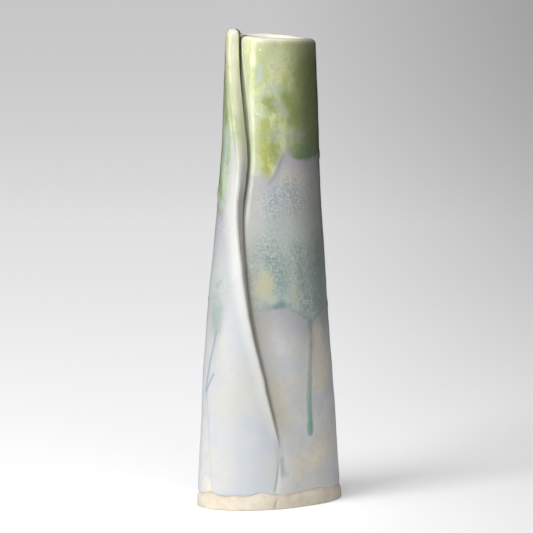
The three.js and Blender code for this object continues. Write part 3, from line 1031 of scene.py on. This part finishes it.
def new_group(name, inputs, outputs):
    """An empty node group with named sockets, and the sockets inside it at either end."""
    group = bpy.data.node_groups.new(name, "ShaderNodeTree")
    for label, kind in inputs:
        group.interface.new_socket(label, in_out="INPUT", socket_type="NodeSocket" + kind)
    for label, kind in outputs:
        group.interface.new_socket(label, in_out="OUTPUT", socket_type="NodeSocket" + kind)
    first = group.nodes.new("NodeGroupInput")
    last = group.nodes.new("NodeGroupOutput")
    return group, first.outputs[:len(inputs)], last.inputs


def use(tree, group, wires):
    """Places a group in a tree with its own values."""
    return add(tree, "Group", wires, node_tree=group).outputs


print("White as linear values:", paint(255, 255, 255))

# %% [markdown]
# Melted glaze runs downhill, so its mottling is drawn out along the height. A group gives three
# noises at once: broad clouds, streaks that are longer than they are wide, and a fine grain. A second
# group measures the distance to a thin stroke on the sheet, for runs and brush marks.

# %% Shared groups for glaze
mottle, (place, scale, length), ends = new_group(
    "Running mottle", [("Place", "Vector"), ("Scale", "Float"), ("Length", "Float")],
    [("Clouds", "Float"), ("Streaks", "Float"), ("Grain", "Float")])
drawn_out = add(mottle, "CombineXYZ", {0: 1.0, 1: 1.0, 2: maths("DIVIDE", 1.0, length)})
flowing = vectors("MULTIPLY", place, drawn_out.outputs[0])["Vector"]
mottle.links.new(noise_at(place, times(scale, 0.4)), ends["Clouds"])
mottle.links.new(noise_at(flowing, scale, 5.0, 0.6), ends["Streaks"])
mottle.links.new(noise_at(place, times(scale, 7.0), 2.0), ends["Grain"])

stroke, (spot, start, end), ends = new_group(
    "Distance to a stroke", [("Map", "Vector"), ("Start", "Vector"), ("End", "Vector")],
    [("Millimetres", "Float")])
to_spot = vectors("SUBTRACT", spot, start)["Vector"]
to_end = vectors("SUBTRACT", end, start)["Vector"]
shadow = vectors("DOT_PRODUCT", to_spot, to_end)["Value"]
square = vectors("DOT_PRODUCT", to_end, to_end)["Value"]
share = add(stroke, "Math", {0: shadow, 1: square}, operation="DIVIDE", use_clamp=True).outputs[0]
nearest = add(stroke, "VectorMath", {0: to_end, "Scale": share}, operation="SCALE").outputs["Vector"]
apart = vectors("DISTANCE", to_spot, nearest)["Value"]
stroke.links.new(times(apart, 1 / MM), ends["Millimetres"])
print("Groups:", [group.name for group in bpy.data.node_groups])

# %% [markdown]
# The skin's finish is painted from the bottom up, as the potter dipped it: a pale lavender ground,
# a greyer middle, the teal band with its runs, the green, and last the places where glaze breaks thin
# and cream over edges. Among the layers are also painted shade in a dent, in the crease, on the flap's
# side and on the right side, and painted highlights on the teal, the lip, the flap's edge and two
# pimples. Each mask is a mark on the sheet made ragged with the shared mottle.

# %% Start the glaze's finish
def bare_finish(name):
    """A material with an empty tree, and the tree."""
    finish = bpy.data.materials.new(name)
    finish.use_nodes = True
    finish.node_tree.nodes.clear()
    return finish, finish.node_tree


def new_finish(name):
    """A material with a Principled shader, its tree, and the shader."""
    finish, tree = bare_finish(name)
    shader = add(tree, "BsdfPrincipled")
    add(tree, "OutputMaterial", {"Surface": shader.outputs[0]})
    return finish, tree, shader


glaze, tree, glaze_shader = new_finish("Running glazes")
where = add(tree, "TexCoord").outputs["Object"]
across, back, height = add(tree, "SeparateXYZ", {0: where}).outputs
sheet = add(tree, "UVMap", uv_map="Sheet").outputs[0]


def read_mark(name):
    """One of the skin's marks, as a value."""
    return add(tree, "Attribute", attribute_name=name).outputs["Fac"]


clouds, streaks, grain = use(tree, mottle, {"Place": where, "Scale": 115.0, "Length": 2.6})
speckle = noise_at(where, 900.0, 2.0, 0.6)
patches = noise_at(where, 270.0, 4.0, 0.6)
big_clouds = noise_at(where, 34.0, 2.0)
wander = times(swing(streaks), 9.0)
crumble = times(swing(grain), 3.0)
ragged = plus(wander, crumble)
shake = plus(swing(streaks), swing(patches))


def stroke_mask(points, inner, outer, shaky=0.5):
    """A mask along strokes on the sheet, given as turns and heights, solid within inner millimetres."""
    nearest = None
    for (turn, up), (next_turn, next_up) in zip(points, points[1:]):
        start = (along_sheet(turn, up), up * MM, 0.0)
        end = (along_sheet(next_turn, next_up), next_up * MM, 0.0)
        distance = use(tree, stroke, {"Map": sheet, "Start": start, "End": end})["Millimetres"]
        nearest = distance if nearest is None else maths("MINIMUM", nearest, distance)
    shaken = plus(nearest, times(swing(streaks), shaky))
    return soft(shaken, outer, inner)


def near(name, inner, outer, shaky):
    """A mask round the dabs of a kind, solid within inner millimetres and gone at outer."""
    shaken = plus(read_mark(name), times(shake, shaky))
    return soft(shaken, outer, inner)


def dab(colour, tint, share, name, inner, outer, shaky):
    """A tint worked into a colour round the dabs of a kind."""
    return over(times(near(name, inner, outer, shaky), share), colour, tint)


def line(colour, tint, share, points, inner, outer, shaky=0.4):
    """A tint worked into a colour along a thin stroke."""
    return over(times(stroke_mask(points, inner, outer, shaky), share), colour, tint)


print("Nodes so far:", len(tree.nodes))

# %% The ground: lavender white low down, greyer above
GROUND = paint(225, 226, 226)
BEIGE = paint(224, 220, 206)
BLUE_TINT = paint(206, 212, 222)
BLUE_POOL = paint(208, 214, 225)
SAND = paint(242, 231, 208)
MIDDLE_GREY = paint(224, 223, 213)
MIDDLE_LAVENDER = paint(219, 220, 219)
BLUE_SPECKLE = paint(160, 176, 184)

from_foot = read_mark("above_foot_line")
above_teal = plus(read_mark("above_teal_end"), times(ragged, 0.4))
colour = wash(GROUND, BEIGE, 0.7, big_clouds, 0.4, 0.62)
colour = wash(colour, BLUE_TINT, 0.55, clouds, 0.46, 0.66)
colour = wash(colour, paint(204, 203, 200), 0.3, patches, 0.5, 0.64)
pool = times(soft(from_foot, 14.0, 0.0), soft(clouds, 0.66, 0.4))
colour = over(times(pool, 0.7), colour, BLUE_POOL)
colour = wash(colour, paint(186, 186, 194), 0.8, above_teal, -22.0, -1.0)
colour = dab(colour, SAND, 0.7, "sandy_cloud", 0.0, 6.5, 12.0)
colour = dab(colour, BLUE_POOL, 0.6, "blue_pool", -2.0, 8.0, 14.0)
gritty = plus(times(streaks, 0.6), times(speckle, 0.4))
colour = wash(colour, paint(216, 209, 192), 0.4, gritty, 0.46, 0.66)

middle_tone = over(soft(big_clouds, 0.42, 0.6), MIDDLE_GREY, MIDDLE_LAVENDER)
middle_tone = dab(middle_tone, paint(232, 224, 202), 0.6, "warm_patch", 2.0, 9.0, 12.0)
middle_tone = wash(middle_tone, paint(190, 190, 184), 0.35, gritty, 0.46, 0.64)
blue_places = near("speckled_place", 0.0, 9.0, 14.0)
fine = plus(times(streaks, 0.3), times(speckle, 0.7))
blue_dots = times(soft(fine, 0.4, 0.6), blue_places)
middle_tone = wash(middle_tone, paint(188, 197, 196), 0.45, fine, 0.45, 0.59)
middle_tone = over(times(blue_dots, 0.75), middle_tone, BLUE_SPECKLE)
middle_mask = soft(above_teal, -2.0, 8.0)
flap_edge = read_mark("from_flap_edge")
off_flap = soft(flap_edge, 30.0, 50.0)
colour = over(times(middle_mask, off_flap), colour, middle_tone)
print("Nodes with the ground:", len(tree.nodes))

# %% The teal band
TEAL = paint(192, 206, 198)
TEAL_DARK = paint(136, 162, 162)
TEAL_WASH = paint(210, 216, 206)
SPOT = paint(224, 219, 172)

below_top = plus(read_mark("below_teal_top"), times(wander, 5.0))
teal_mask = times(soft(above_teal, -0.8, 1.0), soft(below_top, -16.0, 22.0))
teal_tone = over(soft(streaks, 0.38, 0.62), TEAL, TEAL_WASH)
teal_tone = wash(teal_tone, paint(172, 189, 186), 0.4, fine, 0.44, 0.6)
curdled = plus(times(patches, 0.45), times(speckle, 0.55))
dense = times(near("dense_teal", 0.5, 9.5, 16.0), soft(curdled, 0.38, 0.6))
teal_tone = over(times(dense, 0.85), teal_tone, TEAL_DARK)
teal_tone = wash(teal_tone, TEAL_DARK, 0.45, above_teal, 4.0, 0.3)
teal_share = ramp(off_flap, 0.0, 1.0, 0.85, 0.92)
colour = over(times(teal_mask, teal_share), colour, teal_tone)
on_flap = times(soft(off_flap, 1.0, 0.0), soft(height, 0.155, 0.13))
flap_tint = over(soft(big_clouds, 0.42, 0.6), paint(196, 202, 209), paint(206, 208, 207))
colour = over(times(on_flap, 0.6), colour, flap_tint)
colour = dab(colour, paint(160, 177, 172), 0.65, "flap_teal", -1.0, 5.0, 13.0)
colour = dab(colour, SPOT, 0.68, "pale_spot", 0.5, 4.8, 4.0)
colour = dab(colour, SPOT, 0.3, "faint_spot", 0.0, 4.0, 6.0)
colour = dab(colour, paint(120, 150, 152), 0.75, "dark_accent", -0.4, 3.2, 6.0)
# A painted highlight: a small white streak in the teal.
colour = line(colour, paint(240, 239, 230), 0.8, [(-24.0, 121.2), (-21.6, 122.3)], 0.05, 0.5, 0.2)
print("Nodes with the teal:", len(tree.nodes))

# %% Runs and thin marks below the teal
RUN_TOP = paint(146, 168, 168)
RUN_END = paint(142, 180, 162)

run_top = times(near("teal_run", 0.3, 2.6, 2.0), ramp(height, 0.079, 0.093, 0.15, 0.85))
colour = over(run_top, colour, RUN_TOP)
run_tone = over(soft(height, 0.07, 0.045), RUN_TOP, RUN_END)
run_share = ramp(height, 0.045, 0.07, 0.85, 0.42)
for run in RUNS:
    colour = line(colour, run_tone, run_share, run[1:], 0.5, 2.1, 1.2)
colour = line(colour, RUN_END, 0.8, [(36.6, 41), (36.6, 38)], 0.6, 2.5, 1.0)
colour = line(colour, paint(146, 166, 172), 0.75, [(302.5, 89), (291, 59)], 0.1, 1.1, 0.5)
colour = line(colour, paint(152, 148, 186), 0.7, [(302, 67.5), (292.4, 58.3)], 0.2, 1.0, 0.5)
colour = line(colour, paint(196, 198, 208), 0.5, [(281.7, 89), (283, 50), (283, 12)], 0.0, 1.2, 0.8)
# Painted shade: a soft blue-grey line in the dent beside the flap's low end.
colour = line(colour, paint(160, 166, 180), 0.6, [(8, 25), (11, 17)], 0.0, 2.6, 1.6)
colour = line(colour, paint(140, 164, 142), 0.4, [(366.6, 23.5), (362.8, 9.6)], 0.1, 0.8, 0.4)
print("Nodes with the runs:", len(tree.nodes))

# %% The green
YELLOW_GREEN = paint(240, 244, 186)
OLIVE = paint(194, 207, 124)
BLUE_GREEN = paint(216, 229, 202)
PALE_BLUE = paint(202, 217, 214)
DARK_GREEN = paint(122, 146, 118)
HALO = paint(200, 197, 212)

above_green = plus(read_mark("above_green_end"), times(ragged, 0.7))
right_side = soft(across, 0.006, 0.014)
crisp_end = soft(above_green, -1.2, 1.6)
soft_end = soft(above_green, -4.0, 9.0)
green_mask = add(tree, "Mix", {0: right_side, 2: soft_end, 3: crisp_end}).outputs[0]
green_tone = over(soft(streaks, 0.39, 0.61), OLIVE, YELLOW_GREEN)
green_tone = wash(green_tone, BLUE_GREEN, 0.75, clouds, 0.42, 0.64)
green_tone = wash(green_tone, paint(206, 211, 160), 0.6, patches, 0.5, 0.66)
green_tone = wash(green_tone, paint(160, 174, 104), 0.25, patches, 0.47, 0.32)
# Darker olive towards the right: partly the glaze's own tone, partly painted shade of the side turned from
# the lamps.
green_tone = wash(green_tone, paint(124, 143, 76), 0.88, across, 0.004, 0.0195)
strip = times(soft(off_flap, 1.0, 0.0), soft(flap_edge, 0.0, 2.5))
strip_tone = over(soft(streaks, 0.4, 0.62), paint(132, 154, 96), paint(186, 206, 184))
green_tone = over(times(strip, 0.7), green_tone, strip_tone)
green_tone = dab(green_tone, paint(244, 232, 204), 0.7, "pink_spot", 0.0, 4.0, 6.0)
green_tone = dab(green_tone, paint(150, 164, 84), 0.72, "olive_place", 0.0, 6.0, 10.0)
green_tone = dab(green_tone, paint(188, 192, 92), 0.85, "yellow_tongue", 0.3, 4.4, 9.0)
green_tone = dab(green_tone, PALE_BLUE, 0.75, "blue_streak", -1.0, 3.2, 9.0)
green_tone = dab(green_tone, paint(180, 196, 184), 0.6, "blue_cloud", -1.0, 7.5, 18.0)
green_tone = wash(green_tone, PALE_BLUE, 0.16, speckle, 0.42, 0.66)
dark_end = times(soft(above_green, 11.0, 1.0), right_side)
green_tone = over(times(dark_end, 0.7), green_tone, DARK_GREEN)
halo = soft(above_green, -13.0, -1.0)
colour = over(times(times(halo, off_flap), 0.6), colour, HALO)
colour = over(green_mask, colour, green_tone)
print("Nodes with the green:", len(tree.nodes))

# %% Where the glaze breaks thin: rim and shoulder, with a painted highlight on the lip
PALE_GREEN = paint(220, 221, 172)

below_rim = read_mark("below_rim")
colour = wash(colour, PALE_GREEN, 0.5, plus(below_rim, times(wander, 1.6)), 15.0, 1.0)
# Cream where the glaze breaks thin over the lip, painted near white so that it is also a painted highlight
# on the lip.
colour = wash(colour, paint(254, 250, 234), 0.9, below_rim, 1.8, 0.3)
from_crease = read_mark("from_crease")
high_up = soft(height, 0.15, 0.172)
shoulder = times(soft(plus(from_crease, times(wander, 0.6)), 7.5, 2.0), high_up)
colour = over(times(shoulder, 0.55), colour, paint(212, 214, 196))
print("Nodes with the rim:", len(tree.nodes))

# %% Where the glaze breaks thin: the flap's edge, with a painted highlight along it
CREAM = paint(236, 236, 230)
EDGE_YELLOW = paint(198, 199, 158)

from_edge = plus(flap_edge, times(wander, 0.4))
low_down = soft(height, 0.02, 0.05)
cream_reach = ramp(height, 0.165, 0.21, 5.0, 0.6)
cream = times(soft(maths("DIVIDE", from_edge, cream_reach), 1.0, 0.0), low_down)
cream_share = ramp(height, 0.165, 0.185, 0.7, 0.35)
colour = over(times(cream, cream_share), colour, CREAM)
yellow_edge = times(soft(from_edge, 0.6, -0.6), soft(height, 0.16, 0.19))
yellow_edge = times(yellow_edge, soft(below_rim, 0.5, 6.0))
edge_tone = over(soft(streaks, 0.42, 0.58), EDGE_YELLOW, paint(164, 182, 122))
round_edge = plus(flap_edge, times(wander, 0.15))
# A painted highlight: a pale line round the flap's rounded edge.
painted_highlight_line = times(soft(round_edge, -0.5, -0.9), soft(round_edge, -1.7, -1.3))
edge_tone = over(times(painted_highlight_line, 0.4), edge_tone, paint(244, 240, 216))
under_edge = over(soft(streaks, 0.4, 0.62), paint(240, 235, 204), paint(224, 221, 180))
edge_tone = over(soft(round_edge, -1.4, -1.8), edge_tone, under_edge)
colour = over(times(yellow_edge, 0.85), colour, edge_tone)
print("Nodes with the edge:", len(tree.nodes))

# %% Painted shade in the crease beside the flap, on the flap's side and on the vase's right side
CREASE_SHADE_BROWN = paint(140, 130, 110)
CREASE_SHADE_GREEN = paint(64, 94, 80)

# Painted shade: a broad warm grey band on the wall beside the crease, where the flap stands off it and
# shades it.
beside = times(soft(from_crease, 15.0, 0.0), soft(height, 0.175, 0.15))
colour = over(times(times(beside, low_down), 0.55), colour, paint(156, 153, 142))
# Painted shade: a brown line low down and a dark green one high up, in the crease and under the flap's
# edge.
crease = times(soft(from_crease, 1.2, 0.0), low_down)
crease_shade_tone = over(soft(height, 0.158, 0.174), CREASE_SHADE_BROWN, CREASE_SHADE_GREEN)
colour = over(times(crease, 0.6), colour, crease_shade_tone)
# Painted shade on the side of the flap's edge that faces away from the key light.
painted_side_shade = times(soft(from_crease, 3.2, 0.8), soft(height, 0.19, 0.165))
painted_side_shade = times(painted_side_shade, soft(flap_edge, 30.0, 10.0))
colour = over(times(times(painted_side_shade, low_down), 0.2), colour, paint(126, 116, 98))
# Painted shade: the vase's right side, from the teal up, is greyed where it turns away from the lamps.
side = times(soft(back, -0.016, -0.003), soft(back, 0.014, 0.004))
side = times(times(side, right_side), soft(height, 0.07, 0.12))
colour = over(times(side, 0.42), colour, paint(104, 106, 98))
print("Nodes with the crease:", len(tree.nodes))

# %% Gloss and surface of the glaze
def dress(shader, colour, roughness, height, strength, depth):
    """Wires a shader's colour, its roughness, and a bump that follows a height."""
    tree = shader.id_data
    bump = add(tree, "Bump", {"Height": height, "Strength": strength, "Distance": depth * MM})
    for socket, value in (("Base Color", colour), ("Roughness", roughness), ("Normal", bump.outputs[0])):
        tree.links.new(value, shader.inputs[socket])


gloss = plus(ramp(height, 0.115, 0.165, 0.45, 0.13), times(swing(speckle), 0.3))
# Two pimples of glaze: they are raised in the bump, and painted white as their glints.
high_pimple_and_glint = stroke_mask([(-18.7, 228.5), (-18.7, 228.3)], 0.0, 0.9, 0.0)
low_pimple_and_glint = stroke_mask([(-22.2, 196.9), (-22.2, 196.7)], 0.0, 0.9, 0.0)
pimples_and_glints = maths("MAXIMUM", high_pimple_and_glint, low_pimple_and_glint)
colour = over(soft(pimples_and_glints, 0.3, 0.9), colour, paint(255, 255, 252))
orange_peel = plus(times(clouds, 0.2), times(speckle, 0.02))
surface = plus(orange_peel, times(pimples_and_glints, 0.3))
dress(glaze_shader, colour, gloss, surface, 0.35, 1.0)
glaze_skin.data.materials.append(glaze)
print("Nodes of the glaze:", len(tree.nodes))

# %% [markdown]
# The liner is the same kind of glaze in one pale colour, so it uses the shared mottle with its own
# values. Raw clay is a warm buff with fine sand in it: a grain group gives its colour and its bite.

# %% Liner finish
lining, tree, lining_shader = new_finish("Liner glaze")
where = add(tree, "TexCoord").outputs["Object"]
clouds, streaks, grain = use(tree, mottle, {"Place": where, "Scale": 120.0, "Length": 4.0})
height = add(tree, "SeparateXYZ", {0: where}).outputs[2]
inside_tone = over(soft(streaks, 0.4, 0.64), paint(218, 221, 196), paint(232, 231, 214))
inside_tone = over(soft(height, 0.17, 0.225), inside_tone, paint(246, 243, 226))
inside_tone = wash(inside_tone, paint(190, 198, 170), 0.3, grain, 0.5, 0.7)
dress(lining_shader, inside_tone, ramp(clouds, 0.0, 1.0, 0.14, 0.3), clouds, 0.2, 1.0)
liner.data.materials.append(lining)
print("Nodes of the liner:", len(tree.nodes))

# %% Clay group
sandy, (place, scale, pale, dark), ends = new_group(
    "Sandy clay", [("Place", "Vector"), ("Scale", "Float"), ("Pale", "Color"), ("Dark", "Color")],
    [("Colour", "Color"), ("Height", "Float")])
clay_clouds = noise_at(place, scale, 4.0, 0.6)
sand_scale = times(scale, 9.0)
sand = noise_at(place, sand_scale, 3.0, 0.65)
grog = add(sandy, "TexVoronoi", {"Vector": place, "Scale": sand_scale}).outputs["Distance"]
clay_tone = over(soft(clay_clouds, 0.36, 0.66), pale, dark)
clay_tone = wash(clay_tone, dark, 0.35, sand, 0.56, 0.7)
clay_tone = wash(clay_tone, dark, 0.3, grog, 0.22, 0.08)
sandy.links.new(clay_tone, ends["Colour"])
sandy.links.new(plus(times(clay_clouds, 0.5), times(sand, 0.5)), ends["Height"])


def clay_finish(name, pale, dark, scale):
    """A matte clay with its own two tones and grain."""
    finish, tree, shader = new_finish(name)
    where = add(tree, "TexCoord").outputs["Object"]
    tone, bite = use(tree, sandy, {"Place": where, "Scale": scale, "Pale": pale, "Dark": dark})
    dress(shader, tone, ramp(bite, 0.0, 1.0, 0.72, 0.95), bite, 0.4, 0.6)
    return finish


raw_clay = clay_finish("Raw clay", paint(232, 222, 204), paint(218, 206, 185), 160.0)
dry_slip = clay_finish("Dry slip", paint(222, 210, 184), paint(198, 180, 148), 220.0)
clay_wall.data.materials.append(raw_clay)
clay_floor.data.materials.append(raw_clay)
floor_luting.data.materials.append(dry_slip)
for name in ("floor_coil", "lap_slip"):
    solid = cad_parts[name]
    solid.data.materials.clear()
    solid.data.materials.append(dry_slip)
print("Clay finishes:", raw_clay.name, "and", dry_slip.name)

# %% [markdown]
# The studio is a pale floor that runs off into a soft grey, one tall soft light at the left, a broad
# weak one from the front, one from above and a little light from all round. The floor keeps the vase's
# shadow: most of its brightness is its own pale colour under the lamps, and the rest is a faint glow
# that only the camera sees, which stands in for the lit studio behind it. In front of the vase the
# floor fades to a plain glow, which is seen from behind. The light that the floor throws back on the
# vase comes from a pale table's width round it.

# %% Lights
def soft_light(name, place, aim, width, height, power):
    """An area light at a place, turned to face an aim."""
    bpy.ops.object.select_all(action="DESELECT")
    turned = (Vector(aim) - Vector(place)).to_track_quat("-Z", "Y").to_euler()
    bpy.ops.object.light_add(type="AREA", location=place, rotation=turned)
    lamp = bpy.context.object
    lamp.name = name
    lamp.data.shape = "RECTANGLE"
    lamp.data.size = width
    lamp.data.size_y = height
    lamp.data.energy = power
    lamp.visible_camera = False
    print(name, "of", power, "W at", place)


soft_light("key_light", (-1.17, -1.23, 0.95), (0, 0, 0.6), 1.0, 1.8, 28.0)
soft_light("front_light", (0.3, -2.9, 1.2), (0, 0, 0.12), 2.2, 1.6, 20.0)
soft_light("top_light", (-0.2, -0.35, 1.4), (0, 0, 0.2), 0.6, 0.6, 9.0)

# %% World
WORLD_GREY = (0.035, 0.035, 0.036, 1.0)
HORIZON_GREY = (0.48, 0.48, 0.485, 1.0)

studio = bpy.data.worlds.new("Studio")
bpy.context.scene.world = studio
studio.use_nodes = True
sky = studio.node_tree
sky.nodes.clear()
seen = add(sky, "LightPath").outputs["Is Camera Ray"]
sky_light = add(sky, "Background", {"Color": WORLD_GREY, "Strength": 1.0}).outputs[0]
horizon = add(sky, "Background", {"Color": HORIZON_GREY, "Strength": 1.0}).outputs[0]
sky_mix = add(sky, "MixShader", {0: seen, 1: sky_light, 2: horizon}).outputs[0]
add(sky, "OutputWorld", {"Surface": sky_mix})
print("World grey:", WORLD_GREY[0])

# %% Floor
FLOOR_SIDE = 24.0
ROOM_DEPTH = 2.1
SEEN_FLOOR = (0.86, 0.86, 0.87, 1.0)
NEAR_FLOOR = 0.9
FAR_FLOOR = 0.04
GLOW = (0.985, 0.985, 1.0, 1.0)
PLAIN_GLOW = 0.55

bpy.ops.object.select_all(action="DESELECT")
bpy.ops.mesh.primitive_plane_add(size=FLOOR_SIDE, location=(0, 0, 0))
floor = bpy.context.object
floor.name = "studio_floor"

floor_finish, tree = bare_finish("Studio floor")
where = add(tree, "TexCoord").outputs["Object"]
across, deep = add(tree, "SeparateXYZ", {0: where}).outputs[:2]
fade = ramp(deep, 0.0, 1.25, 0.32, 0.5)
sideways = maths("DIVIDE", across, plus(deep, ROOM_DEPTH))
aside = ramp(sideways, 0.0, 0.062, 1.05, 0.63)
glow = add(tree, "Emission", {"Color": GLOW, "Strength": times(fade, aside)}).outputs[0]
matte = add(tree, "BsdfDiffuse", {"Color": SEEN_FLOOR}).outputs[0]
lit = add(tree, "AddShader", {0: glow, 1: matte}).outputs[0]
in_front = add(tree, "Emission", {"Color": GLOW, "Strength": PLAIN_GLOW}).outputs[0]
ground = add(tree, "MixShader", {0: ramp(deep, -0.9, -0.2, 0.0, 1.0), 1: in_front, 2: lit}).outputs[0]
away = add(tree, "VectorMath", {0: where}, operation="LENGTH").outputs["Value"]
table = ramp(away, 0.25, 0.7, NEAR_FLOOR, FAR_FLOOR)
plain = add(tree, "BsdfDiffuse", {"Color": table}).outputs[0]
rays = add(tree, "LightPath").outputs
seen = maths("MAXIMUM", rays["Is Camera Ray"], rays["Is Transmission Ray"])
shown = add(tree, "MixShader", {0: seen, 1: plain, 2: ground}).outputs[0]
add(tree, "OutputMaterial", {"Surface": shown})
floor.data.materials.append(floor_finish)
print("Floor side in m:", FLOOR_SIDE)
